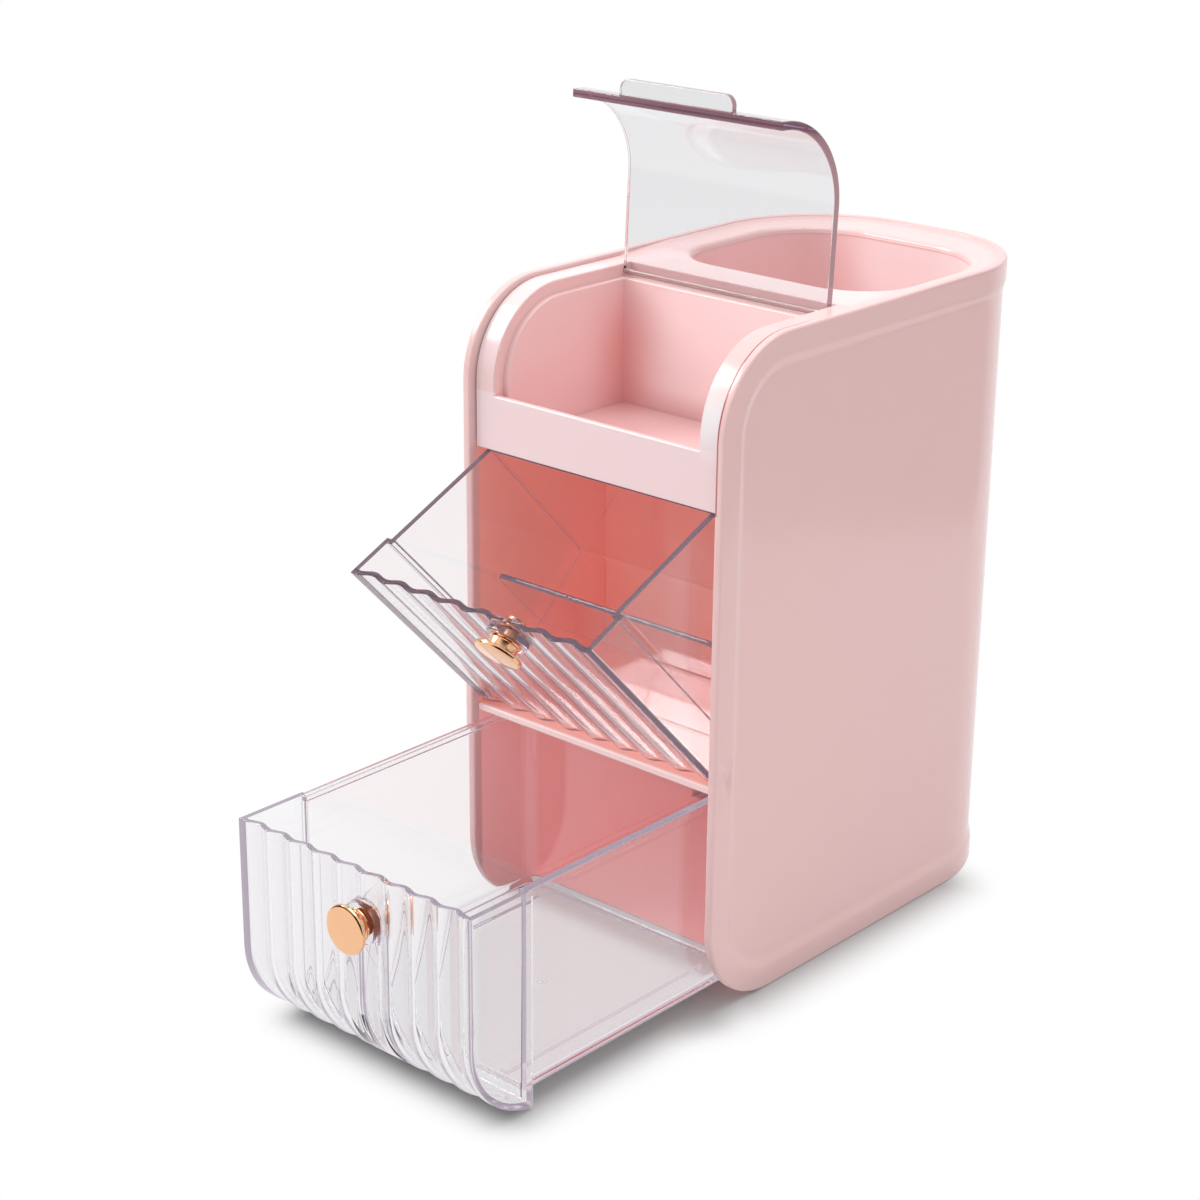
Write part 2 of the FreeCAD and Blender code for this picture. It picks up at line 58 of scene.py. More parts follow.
# %% [markdown]
# ## Camera
#
# The camera stands where the photographer stood. Its angles and distance come from fitting the unit's
# straight edges to the photograph. A tracking constraint could aim it too, but a matrix of three directions
# also keeps the small roll of the picture.

# %% Camera at the photograph's angle
camera_azimuth = math.radians(41.613)
camera_elevation = math.radians(20.654)
camera_roll = math.radians(0.533)
camera_distance = 903.3 * mm
camera_aim = Vector((0, -5.0, 112.5)) * mm
aim_right = -52.076 * mm
aim_up = -3.948 * mm
camera_lens = 78.36


def new_object(name, data):
    made = bpy.data.objects.new(name, data)
    bpy.context.scene.collection.objects.link(made)
    return made


def camera_matrix():
    """Right, up and back directions of the camera, and its place."""
    level = math.cos(camera_elevation)
    back = Vector((math.sin(camera_azimuth) * level, -math.cos(camera_azimuth) * level,
                   math.sin(camera_elevation)))
    right = Vector((math.cos(camera_azimuth), math.sin(camera_azimuth), 0))
    up = back.cross(right)
    turn = Matrix.Rotation(camera_roll, 3, back)
    right = turn @ right
    up = turn @ up
    rows = Matrix((right, up, back)).transposed().to_4x4()
    rows.translation = camera_aim + right * aim_right + up * aim_up + back * camera_distance
    return rows


camera_data = bpy.data.cameras.new("photo_camera")
camera_data.lens = camera_lens
camera = new_object("photo_camera", camera_data)
camera.matrix_world = camera_matrix()
bpy.context.scene.camera = camera
print("camera at", [round(v, 3) for v in camera.location])

# %% [markdown]
# ## Node helpers
#
# A few short helpers keep each material readable: one adds a node, one joins or sets an input, and others
# work out numbers, vectors and colours from sockets.

# %% Node helpers


def new_material(name):
    material = bpy.data.materials.new(name)
    material.use_nodes = True
    return material, material.node_tree.nodes["Principled BSDF"]


def set_inputs(node, **values):
    """Sets a node's inputs. Spaces in their names are written as underscores."""
    for name, value in values.items():
        node.inputs[name.replace("_", " ")].default_value = value


def add_node(tree, kind, **values):
    """Adds a shader node. Values name its properties or its inputs."""
    node = tree.nodes.new("ShaderNode" + kind)
    for name, value in values.items():
        if hasattr(node, name):
            setattr(node, name, value)
        else:
            set_inputs(node, **{name: value})
    return node


def join(value, target):
    """Joins a socket to an input, or sets the input to a plain value."""
    if isinstance(value, bpy.types.NodeSocket):
        target.id_data.links.new(value, target)
    else:
        target.default_value = value


def joined_node(kind, values, **properties):
    """Adds a node to the tree of the first value, and joins the values to its inputs in their order."""
    node = add_node(values[0].id_data, kind, **properties)
    for value, target in zip(values, node.inputs):
        join(value, target)
    return node


def number(operation, *values):
    """Result of an operation on numbers."""
    return joined_node("Math", values, operation=operation).outputs[0]


def times(product, *others):
    for other in others:
        product = number("MULTIPLY", product, other)
    return product


def largest(most, *others):
    for other in others:
        most = number("MAXIMUM", most, other)
    return most


def vector(operation, *values):
    """Result of an operation on vectors. A length or a dot product is a number."""
    node = joined_node("VectorMath", values, operation=operation)
    return node.outputs["Value" if operation in ("LENGTH", "DOT_PRODUCT") else "Vector"]


def axes_of(place):
    """X, Y and Z of a place."""
    parts = joined_node("SeparateXYZ", [place])
    return [parts.outputs[axis] for axis in "XYZ"]


def soft_step(source, start, end, low=0, high=1):
    """Smooth change from low at start to high at end."""
    step = add_node(source.id_data, "MapRange", interpolation_type="SMOOTHSTEP",
                    From_Min=start, From_Max=end, To_Min=low, To_Max=high)
    join(source, step.inputs["Value"])
    return step.outputs["Result"]


def mixed_colour(share, one, two):
    blend = add_node(share.id_data, "Mix", data_type="RGBA")
    for name, value in (("Factor", share), ("A", one), ("B", two)):
        join(value, blend.inputs[name])
    return blend.outputs["Result"]


def mixed_shader(share, one, two):
    return joined_node("MixShader", (share, one.outputs[0], two.outputs[0]))


# %% [markdown]
# ## Moulded surface
#
# Injection-moulded plastic is never a perfect mirror. Its skin waves very slightly where it shrank, and
# handling leaves faint differences of gloss. One group makes both from noise in object space, so that the
# pattern keeps its real size on every piece, and each plastic sets how strong it is.

# %% Group: moulded surface
wave_height = 0.6 * mm
moulded = bpy.data.node_groups.new("moulded surface", "ShaderNodeTree")
for socket in ("Roughness", "Gloss Change", "Wave", "Wave Size"):
    moulded.interface.new_socket(socket, in_out="INPUT", socket_type="NodeSocketFloat")
for socket, kind in (("Roughness", "Float"), ("Normal", "Vector"), ("Mask", "Float")):
    moulded.interface.new_socket(socket, in_out="OUTPUT", socket_type="NodeSocket" + kind)
asked = moulded.nodes.new("NodeGroupInput").outputs
given = moulded.nodes.new("NodeGroupOutput").inputs
object_place = add_node(moulded, "TexCoord").outputs["Object"]
gloss_noise = add_node(moulded, "TexNoise", Scale=38, Detail=4, Roughness=0.6)
join(object_place, gloss_noise.inputs["Vector"])
gloss = gloss_noise.outputs["Fac"]
centred = number("SUBTRACT", gloss, 0.5)
wave_noise = add_node(moulded, "TexNoise", Detail=1)
join(object_place, wave_noise.inputs["Vector"])
join(asked["Wave Size"], wave_noise.inputs["Scale"])
wave_bump = add_node(moulded, "Bump", Distance=wave_height)
join(asked["Wave"], wave_bump.inputs["Strength"])
join(wave_noise.outputs["Fac"], wave_bump.inputs["Height"])
spread = number("MULTIPLY_ADD", centred, asked["Gloss Change"], asked["Roughness"])
join(spread, given["Roughness"])
join(wave_bump.outputs["Normal"], given["Normal"])
join(gloss, given["Mask"])


def moulded_skin(shader, **values):
    """Gives a material the moulded surface, with its own values, and returns the mask of its gloss."""
    surface = add_node(shader.id_data, "Group", node_tree=moulded, **values)
    for name in ("Roughness", "Normal"):
        join(surface.outputs[name], shader.inputs[name])
    return surface.outputs["Mask"]


print("group", moulded.name)

# %% [markdown]
# ## Pink gloss plastic
#
# The shell, tray, cup, shelf and base are one pale pink plastic. Light that comes through its thin walls and
# bounces between them turns the inside of the bays salmon while the outside stays pale. Subsurface scattering
# could carry that light, but it is slow and it blotches such thin walls. So that light is painted instead: soft
# masks of the rooms behind the openings give them a painted glow and deeper painted shade. Other masks paint
# highlights on the few faces that catch more light, and painted shade in an inner corner of the tray, in the
# joint beside the right band and on the rear rim.

# %% Pink plastic: rooms
glow_edge = 0.4


def box_room(low, high):
    """Room with sharp sides: where it starts, is full, fades and ends along each axis, in millimetres."""
    return [(start - glow_edge, start + glow_edge, end - glow_edge, end + glow_edge)
            for start, end in zip(low, high)]


drawer_bay = box_room((-52.3, -86.6, 0), (52.3, 30, 78.6))
bin_bay = box_room((-52.3, -86.6, 78.6), (52.3, 30, 174.2))
tray_walls = box_room((-41.9, -85.4, 177), (41.9, -26.2, 219))
tray_end = (-41, -14, 41.5, 42.3), (-28.4, -27.6, -26.6, -25.8), (176.6, 186, 218.6, 219.4)
tray_corner_shade = (-42.6, -42.2, -41, -22), (-48, -27, -26.6, -25.8), (174, 178, 196, 221)
cup_inside = box_room((-42, -5.6, 83), (46.8, 72.6, 221))
cup_rear = (-34, -4, 46.4, 47.2), (24, 50, 72.6, 73.4), (82, 84, 220.6, 221.4)
rail_front = (-51.6, -51.2, 51.2, 51.6), (-89, -88.5, -87, -86.6), (171, 171.5, 190.6, 192)
band_left = (-51.6, -51.2, -43.8, -43.2), (-90, -89, -40, -22), (184, 216, 226, 227)
band_right = (43.2, 43.8, 51.2, 51.6), (-90, -89, -60, -40), (184, 200, 203, 218)
deck_front = (-50, -44, 44, 50), (-19.8, -19.2, -4, 8), (222.8, 223.2, 226, 227)
rear_rim_shade = (-56, -55.5, 55.5, 56), (-10, 30, 91, 92), (223.7, 224.3, 226, 227)
shelf_edge = (-51.6, -51.2, 51.2, 51.6), (-90, -89, -86.4, -85.6), (74, 75, 82, 83)
joint_shadow = (51.7, 51.8, 52.6, 52.9), (-91, -90.5, -50, -44), (171.5, 172.5, 226, 227)
# Painted light: emission glows for light bounced inside the bays, tray and cup, and painted highlights on the
# rail, bands, deck front, shelf edge, tray end and cup rear.
painted_light_glows = [
    (drawer_bay, (0.212, 0.070, 0.068)), (bin_bay, (0.165, 0.024, 0.018)),
    (tray_walls, (0.03, 0.02, 0.022)), (tray_end, (0.15, 0.17, 0.18)),
    (cup_inside, (0.12, 0.045, 0.046)), (cup_rear, (0.12, 0.20, 0.21)),
    (rail_front, (0.04, 0.10, 0.12)), (band_left, (0.0, 0.12, 0.14)),
    (band_right, (0.04, 0.27, 0.29)), (deck_front, (0.02, 0.10, 0.10)),
    (shelf_edge, (0.10, 0.10, 0.10))]
# Painted shade: deeper base tones in the bin bay, an inner corner of the tray, the joint beside the right band and
# the rear rim.
painted_shade_colours = [
    (bin_bay, (0.84, 0.51, 0.45)), (tray_corner_shade, (0.82, 0.42, 0.40)),
    (joint_shadow, (0.42, 0.12, 0.12)), (rear_rim_shade, (0.76, 0.50, 0.49))]
print("rooms", len(painted_light_glows), len(painted_shade_colours))

# %% Pink plastic: material
plain_pink = (0.840, 0.556, 0.546, 1)
pale_pink = (0.855, 0.575, 0.565, 1)
black = (0, 0, 0, 1)
plastic_ior = 1.5


def room_mask(axes, room):
    """1 inside a room, 0 outside it."""
    sides = []
    for axis, (start, full, fade, end) in zip(axes, room):
        sides.append(soft_step(axis, start * mm, full * mm))
        sides.append(soft_step(axis, end * mm, fade * mm))
    return times(*sides)


def object_axes(tree):
    return axes_of(add_node(tree, "TexCoord").outputs["Object"])


def with_painted_tones(axes, tones, colour):
    """Colour that turns, inside each room, to that room's tone of painted light and shade."""
    for room, tone in tones:
        colour = mixed_colour(room_mask(axes, room), colour, (*tone, 1))
    return colour


def pink_plastic():
    material, shader = new_material("pink_gloss_plastic")
    mask = moulded_skin(shader, Roughness=0.15, Gloss_Change=0.06, Wave=0.05, Wave_Size=26)
    axes = object_axes(material.node_tree)
    tint = mixed_colour(mask, plain_pink, pale_pink)
    # Painted shade in the base colour and painted light in the emission, both from the rooms' masks.
    join(with_painted_tones(axes, painted_shade_colours, tint), shader.inputs["Base Color"])
    join(with_painted_tones(axes, painted_light_glows, black), shader.inputs["Emission Color"])
    set_inputs(shader, IOR=plastic_ior, Emission_Strength=1)
    return material


pink = pink_plastic()
print("material", pink.name)

# %% [markdown]
# ## Clear plastic
#
# The lid, bin and drawer are clear styrene. Seen through a wall it is almost colourless, but seen along a
# wall, at its cut edges, it is a purple grey. That is depth of material, so the tint comes from absorption
# inside the solid. Light that is led along inside a wall would need very many bounces. A ray that has turned
# often ends instead in a painted glow, light painted in the tone of the edge, which is paler along the
# drawer's floor. Lamp light passes straight through, because a shadow of bent light would be slow and noisy;
# along the drawer's floor only half of it passes, so that the floor casts a darker shadow.

# %% Clear plastic
depth_colour = (0.36, 0.22, 0.42, 1)
depth_density = 16
most_reflections = 2.5
most_turns = 9.5
drawer_edge_glow = (0.52, 0.46, 0.53, 1)
above_drawer = (76 * mm, 82 * mm)
floor_edge = (-24, -16, 60, 61), (-171, -170, -61, -60), (3, 4, 10, 11)
floor_edge_glows = [(floor_edge, (0.84, 0.73, 0.77))]
shading_floor = (5 * mm, 14 * mm)
floor_passes = 0.5


def clear_plastic(name, tone, upper_edge_glow):
    """Clear plastic of a given tone. Its edges get a painted glow, of the given edge tone above the drawer."""
    material, shader = new_material(name)
    tree = material.node_tree
    moulded_skin(shader, Roughness=0.02, Gloss_Change=0.02, Wave=0.02, Wave_Size=40)
    set_inputs(shader, Base_Color=tone, IOR=plastic_ior, Transmission_Weight=1)
    axes = object_axes(tree)
    path = add_node(tree, "LightPath").outputs
    let_through = add_node(tree, "BsdfTransparent")
    passing = soft_step(axes[2], *shading_floor, floor_passes, 1)
    join(passing, let_through.inputs["Color"])
    lamp_or_bounce = largest(path["Is Shadow Ray"], path["Is Diffuse Ray"])
    seen_through = mixed_shader(lamp_or_bounce, shader, let_through)
    edge_glow_colour = mixed_colour(soft_step(axes[2], *above_drawer), drawer_edge_glow, upper_edge_glow)
    # Painted light: rays that turned often end in an emission glow in the edge's tone.
    painted_edge_glow = add_node(tree, "Emission", Strength=1)
    join(with_painted_tones(axes, floor_edge_glows, edge_glow_colour), painted_edge_glow.inputs["Color"])
    long_way = number("GREATER_THAN", path["Glossy Depth"], most_reflections)
    many_turns = number("GREATER_THAN", path["Ray Depth"], most_turns)
    guided = mixed_shader(largest(long_way, many_turns), seen_through, painted_edge_glow)
    depth_tint = add_node(tree, "VolumeAbsorption", Color=depth_colour, Density=depth_density)
    output = tree.nodes["Material Output"].inputs
    join(guided.outputs[0], output["Surface"])
    join(depth_tint.outputs["Volume"], output["Volume"])
    return material


clear = clear_plastic("clear_plastic", (0.955, 0.955, 0.960, 1), (0.23, 0.15, 0.19, 1))
clear_lid = clear_plastic("clear_lid_plastic", (0.878, 0.882, 0.888, 1), (0.54, 0.34, 0.34, 1))
print("materials", clear.name, clear_lid.name)

# %% [markdown]
# ## Rose gold, steel and rubber
#
# The knobs are plated metal with a warm copper tone. The hidden hardware is plain bright steel, and the feet
# are grey rubber. Metals take their colour from their reflections, so their roughness matters most.

# %% Metals and rubber


def plain_finish(name, colour, metallic, **skin):
    material, shader = new_material(name)
    moulded_skin(shader, **skin)
    set_inputs(shader, Base_Color=colour, Metallic=metallic)
    return material


def plated_metal(name, colour, roughness):
    return plain_finish(name, colour, 1, Roughness=roughness, Gloss_Change=0.08, Wave=0.02, Wave_Size=120)


rose_gold = plated_metal("rose_gold_plating", (0.90, 0.52, 0.30, 1), 0.07)
steel = plated_metal("bright_steel", (0.60, 0.60, 0.62, 1), 0.28)
# Painted shade: a darker copy of the plating for the screws and washers seen through the clear fronts.
shaded_rose_gold = plated_metal("rose_gold_painted_shade", (0.66, 0.34, 0.22, 1), 0.30)
# Painted shade and painted reflection: a darker, pinker copy of steel for the hinge rod in the clear barrel.
shaded_pink_steel = plated_metal("hinge_rod_painted_shade", (0.66, 0.53, 0.51, 1), 0.35)
rubber = plain_finish("grey_rubber", (0.30, 0.28, 0.28, 1), 0, Roughness=0.75, Gloss_Change=0.15, Wave=0.3,
                      Wave_Size=900)
finishes = {"pink_plastic": pink, "clear_plastic": clear, "rose_gold": rose_gold, "steel": steel,
            "pad_rubber": rubber}
print("finishes", sorted(finishes))

# %% [markdown]
# ## Placing pieces
#
# Each modelled piece stands for a solid. Its body and finish could be written by hand, but are read from
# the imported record, so that neither can be wrong.

# %% Placing helpers
body_of_node = {node: body for body, nodes in frame["record"]["behaviour"]["bodies"].items()
                for node in nodes}
slot_of_node = {row["node"]: row["material_slot"] for row in frame["record"]["subparts"]}
soft_angle = 35


def place_piece(name, mesh, node):
    """Shows mesh in place of a solid, on its body and with its finish."""
    mesh.materials.clear()
    mesh.materials.append(finishes[slot_of_node[node]])
    piece = new_object(name, mesh)
    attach(piece, body_of_node[node])
    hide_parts(node)
    print("piece", name, "for", node, "faces", len(mesh.polygons))
    return piece


def shade_smooth(mesh, angle_deg):
    """Smooth shading, with edges sharper than the angle kept sharp."""
    mesh.polygons.foreach_set("use_smooth", [True] * len(mesh.polygons))
    mesh.set_sharp_from_angle(angle=math.radians(angle_deg))


def flat_faces(piece):
    """Keeps a rounded piece's flat faces looking flat."""
    weighted = piece.modifiers.new("flat faces", "WEIGHTED_NORMAL")
    weighted.keep_sharp = True
    weighted.weight = 100
    return piece


def soften(piece, width, segments=2, angle_deg=soft_angle):
    """Rounds a piece's edges."""
    bevel = piece.modifiers.new("rounded edges", "BEVEL")
    bevel.width = width
    bevel.segments = segments
    bevel.angle_limit = math.radians(angle_deg)
    bevel.use_clamp_overlap = False
    return flat_faces(piece)


# %% [markdown]
# ## Solids from outlines
#
# Glass only looks right as one closed solid with no faces left inside. Each clear piece is therefore built
# from a few plain solids, every one a skin over rings of points, which the exact boolean solver joins or
# takes away. Round stretches are arcs, worked out from their angles.

# %% Mesh helpers
fine_weld = 0.0005 * mm
wide_weld = 0.002 * mm


def arc(first, last, steps):
    """Cosine and sine of angles from first to last, in degrees."""
    angles = [math.radians(first + (last - first) * step / steps) for step in range(steps + 1)]
    return [(math.cos(angle), math.sin(angle)) for angle in angles]


def circle(steps):
    return arc(0, 360, steps)[:-1]


def around(middle, radius, turns):
    """Points at a distance from a middle."""
    return [(middle[0] + radius * cos, middle[1] + radius * sin) for cos, sin in turns]


def mesh_from(bm, weld=fine_weld):
    bmesh.ops.remove_doubles(bm, verts=bm.verts[:], dist=weld)
    bmesh.ops.recalc_face_normals(bm, faces=bm.faces[:])
    mesh = bpy.data.meshes.new("solid")
    bm.to_mesh(mesh)
    bm.free()
    return mesh


def skin_faces(bm, rings):
    """Faces between closed rings of vertices."""
    faces = []
    for one, two in zip(rings, rings[1:]):
        for index in range(len(one)):
            follow = (index + 1) % len(one)
            faces.append(bm.faces.new((one[index], one[follow], two[follow], two[index])))
    return faces


def loft(sections):
    """Closed solid through equal rings of points, with flat ends."""
    bm = bmesh.new()
    rings = [[bm.verts.new(point) for point in ring] for ring in sections]
    skin_faces(bm, rings)
    bm.faces.new(rings[0])
    bm.faces.new(rings[-1])
    return mesh_from(bm)


def side_view(points, x):
    return [Vector((x, y, z)) for y, z in points]


def across(points, low_x, high_x):
    """Side-view outline stretched across the unit."""
    return loft([side_view(points, x) for x in (low_x, high_x)])


def rectangle(low_x, high_x, near, far, z):
    return [Vector((low_x, near, z)), Vector((high_x, near, z)), Vector((high_x, far, z)),
            Vector((low_x, far, z))]


def rounded_plan(half, square_end, round_end, radius, z, steps=8):
    """Top view of a plate with rounded corners at one end."""
    facing = math.copysign(1, round_end - square_end)
    points = [Vector((-facing * half, square_end, z)), Vector((facing * half, square_end, z))]
    for side, first in ((1, 0), (-1, 90)):
        for cos, sin in arc(first, first + 90, steps):
            x = side * (half - radius) + radius * cos
            points.append(Vector((facing * x, round_end - facing * radius + facing * radius * sin, z)))
    return points


def combine(base, others, operation):
    """Mesh of base with each other mesh united with it or taken from it."""
    carrier = new_object("carrier", base)
    helpers = [new_object("helper", other) for other in others]
    for helper in helpers:
        cut = carrier.modifiers.new("combine", "BOOLEAN")
        cut.operation = operation
        cut.solver = "EXACT"
        cut.object = helper
    depsgraph = bpy.context.evaluated_depsgraph_get()
    result = bpy.data.meshes.new_from_object(carrier.evaluated_get(depsgraph))
    for helper in helpers + [carrier]:
        bpy.data.objects.remove(helper)
    return result


def turned(mesh, pivot, angle):
    """Turns a mesh about a line across the unit, through its pivot."""
    mesh.transform(Matrix.Translation(pivot) @ Matrix.Rotation(angle, 4, "X") @ Matrix.Translation(-pivot))
    return mesh


def joint_named(name):
    return next(joint for joint in frame["joints"] if joint["name"] == name)


# %% [markdown]
# ## Shell
#
# The shell is a U of even wall: two side walls and a rounded rear. Its edges are rounded, its outer faces
# are dished a little inside a raised rim, and a shallow mark shows over each of the bin's pins. A subdivided
# box would need many loops to hold those roundings. Instead the section across the edge is drawn once and
# carried along the outline: from the middle of the rear, forward along the top, and round the front corner.
# The lower half and the left half are mirror images.

# %% Shell: sizes
shell_low, shell_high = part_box("outer_shell")
shell_half = shell_high.x
shell_rear = shell_high.y
shell_height = shell_high.z
shell_wall = 3.2 * mm
shell_rear_flat = 20 * mm
shell_front_radius = 31 * mm
shell_rear_radius = shell_half - shell_rear_flat / 2
shell_inner_half = shell_half - shell_wall
bend_y = shell_rear - shell_rear_radius
corner_y = shell_low.y + shell_front_radius
corner_z = shell_height - shell_front_radius
edge_outer_radius = 0.9 * mm
edge_inner_radius = 0.7 * mm
rim_width = 7.2 * mm
dish_depth = 0.9 * mm
dish_width = 4.8 * mm
dish_steps = 8
round_steps = 5
corner_steps = 18
rear_steps = 20
side_steps = 6
column_steps = 8
mark_radius = 2.4 * mm
mark_depth = 0.5 * mm
mark_slope = 1.4
mark_steps = 40
shell_sharp = 50


def edge_section():
    """Points (depth in from the outline, thickness out from the inner face), from inside to outside."""
    quarter = arc(0, 90, round_steps)
    points = [(rim_width + dish_width, 0), (3 * edge_inner_radius, 0)]
    points += [(edge_inner_radius * (1 - sin), edge_inner_radius * (1 - cos)) for cos, sin in quarter]
    points += [(edge_outer_radius * (1 - cos), shell_wall - edge_outer_radius * (1 - sin))
               for cos, sin in quarter]
    points.append((rim_width, shell_wall))
    for step in range(1, dish_steps + 1):
        share = step / dish_steps
        ease = share * share * (3 - 2 * share)
        points.append((rim_width + dish_width * share, shell_wall - dish_depth * ease))
    return points


def shell_path():
    """Stations along the top edge of the right half: a kind of stretch, and the place or angle in it."""
    quarter = math.radians(90)
    stations = [("rear", 0.0), ("rear", shell_rear_flat / 4)]
    stations += [("bend", quarter * (1 - step / rear_steps)) for step in range(rear_steps + 1)]
    stations += [("side", bend_y + (corner_y - bend_y) * step / side_steps) for step in range(1, side_steps)]
    stations += [("corner", quarter * step / corner_steps) for step in range(corner_steps + 1)]
    return stations


def shell_point(station, depth, thick):
    """Place of the section's point (depth, thick) at a station of the top edge."""
    kind, where = station
    x = shell_inner_half + thick
    y = where
    z = shell_height - depth
    if kind == "rear":
        x = where
        y = shell_rear - shell_wall + thick
    if kind == "bend":
        radius = shell_rear_radius - shell_wall + thick
        x = shell_rear_flat / 2 + radius * math.cos(where)
        y = bend_y + radius * math.sin(where)
    if kind == "corner":
        radius = shell_front_radius - depth
        y = corner_y - radius * math.sin(where)
        z = corner_z + radius * math.cos(where)
    return Vector((x, y, z))


# %% Shell: mesh


def mirrored_z(point):
    return Vector((point.x, point.y, shell_height - point.z))


def grid_faces(bm, rows):
    """Quads between rows of points."""
    rows = [[bm.verts.new(point) for point in row] for row in rows]
    for upper, lower in zip(rows, rows[1:]):
        for index in range(len(upper) - 1):
            bm.faces.new((upper[index], upper[index + 1], lower[index + 1], lower[index]))


def columns(upper):
    """Rows of points from an upper row down to its mirror image."""
    shares = [step / column_steps for step in range(column_steps + 1)]
    return [[point.lerp(mirrored_z(point), share) for point in upper] for share in shares]


def shell_mesh():
    bm = bmesh.new()
    stations = shell_path()
    band = [[shell_point(station, *point) for station in stations] for point in edge_section()]
    front_edge = [row[-1] for row in band]
    grid_faces(bm, band)
    grid_faces(bm, [[mirrored_z(point) for point in row] for row in band])
    for upper in (front_edge, band[0], band[-1]):
        grid_faces(bm, columns(upper))
    copied = bmesh.ops.duplicate(bm, geom=bm.verts[:] + bm.edges[:] + bm.faces[:])["geom"]
    for item in copied:
        if isinstance(item, bmesh.types.BMVert):
            item.co.x = -item.co.x
    return mesh_from(bm, wide_weld)


bin_joint = joint_named("bin_tilt")
bin_pivot = Vector(bin_joint["pos_m"])


def pivot_mark(side):
    """Cone along X that cuts the shallow mark over a pivot pin."""
    rings = []
    for rise in (0, 2 * mark_depth):
        x = side * (shell_half - mark_depth + rise)
        radius = mark_radius + mark_slope * (rise - mark_depth)
        rings.append(side_view(around(bin_pivot.yz, radius, circle(mark_steps)), x))
    return loft(rings)


shell_piece = combine(shell_mesh(), [pivot_mark(-1), pivot_mark(1)], "DIFFERENCE")
shade_smooth(shell_piece, shell_sharp)
place_piece("shell", shell_piece, "outer_shell")

# %% [markdown]
# ## Fluted fronts
#
# The drawer and the bin are thin clear tubs with fluted fronts. A modifier could bend flutes into a flat
# wall. Here the side view is carried across the unit and drawn back at every flute, outside and inside.

# %% Flutes and knob seats shared by the drawer and the bin
clear_wall = 2 * mm
flute_swing = 1.3 * mm
corner_flat = 2.6 * mm
flute_samples = 24
station_gap = 0.05 * mm
side_inset = 2 * mm
boss_radius = 7.2 * mm
boss_proud = 1.4 * mm
boss_steps = 48
clear_round = 0.3 * mm
clear_sharp = 40
spare = 12 * mm


def flute_depth(x, half, count):
    """How far the fluted front lies behind its crests at x."""
    inside = half - corner_flat
    if abs(x) >= inside:
        return 0.0
    return flute_swing * (1 - math.cos(2 * math.pi * count * (x + inside) / (2 * inside))) / 2


def flute_stations(half, count, inset):
    """X places that sample every flute evenly, out to the block's own side."""
    inside = half - corner_flat
    limit = half - inset
    steps = count * flute_samples
    places = [-inside + 2 * inside * step / steps for step in range(steps + 1)]
    return [-limit] + [x for x in places if abs(x) < limit - station_gap] + [limit]


def fluted_block(half, count, inset, section):
    """Solid whose side-view section follows the flutes from one side to the other."""
    return loft([side_view(section(flute_depth(x, half, count)), x)
                 for x in flute_stations(half, count, inset)])


def knob_boss(seat):
    """Round seat of a knob, from its face through the fluted wall."""
    outline = around(seat.xz, boss_radius, circle(boss_steps))
    end = seat + Vector((0, boss_proud + flute_swing + clear_wall, 0))
    return loft([[Vector((x, y, z)) for x, z in outline] for y in (seat.y, end.y)])


def clear_piece(name, mesh, node):
    """Shows a clear moulding with its edges softened."""
    shade_smooth(mesh, clear_sharp)
    return soften(place_piece(name, mesh, node), clear_round, angle_deg=clear_sharp)


# %% [markdown]
# ## Drawer
#
# The drawer's fluted front runs down, rounds under and ends at a flange. The box behind it is a little
# narrower and higher, and its long sides carry a thicker rim. Two low ribs run along its floor, and a small
# dome is left where the plastic entered the mould. Each of these is a plain solid, and they are joined.

# %% Drawer: sizes
drawer_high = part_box("drawer_box")[1]
drawer_half = 50.6 * mm
drawer_flutes = 9
drawer_back = drawer_high.y
drawer_top = drawer_high.z
drawer_face = drawer_back - 130.5 * mm
drawer_flange = drawer_face + 26.7 * mm
drawer_radius = 30 * mm
drawer_bottom = 1.1 * mm
box_half = drawer_half - side_inset
box_bottom = 6 * mm
box_radius = 6 * mm
box_floor = box_bottom + clear_wall
lip_width = 1.2 * mm
lip_height = 2.4 * mm
bend_steps = 20
floor_round = 2 * mm
inner_floor_round = 3 * mm
floor_steps = 5
drawer_knob_x = 4.5 * mm
drawer_knob_z = drawer_top - 17 * mm
drawer_seat = Vector((drawer_knob_x, drawer_face - boss_proud, drawer_knob_z))
gate_place = Vector((6.5 * mm, -118.5 * mm, box_floor))
gate_radius = 1.7 * mm
gate_height = 0.6 * mm
gate_rows = 4
gate_steps = 24
rib_inset = 10.2 * mm
rib_width = 3 * mm
rib_height = 0.9 * mm
rib_slope = 0.1 * mm


def drawer_section(back, top, skin):
    """Side view of the front block, skin deep inside its outer face. The flutes run out at the bottom."""
    def section(dip):
        centre_y = drawer_face + drawer_radius
        centre_z = drawer_bottom + drawer_radius
        last = math.acos((back - centre_y) / (drawer_radius - skin))
        points = [(back, top), (drawer_face + dip + skin, top)]
        for step in range(bend_steps + 1):
            share = step / bend_steps
            turn = math.pi + (math.pi - last) * share
            radius = drawer_radius - skin - dip * (1 - share * share)
            points.append((centre_y + radius * math.cos(turn), centre_z + radius * math.sin(turn)))
        return points
    return section


def tub_mesh(half, near, low, high, plan_radius, floor_radius):
    """Box with rounded rear corners and a rounded lower edge."""
    far = drawer_back - (box_half - half)
    rings = []
    for cos, sin in arc(0, 90, floor_steps):
        inset = floor_radius * (1 - sin)
        rings.append(rounded_plan(half - inset, near + inset, far - inset, plan_radius - inset,
                                  low + floor_radius * (1 - cos)))
    rings.append([Vector((point.x, point.y, high)) for point in rings[-1]])
    return loft(rings)


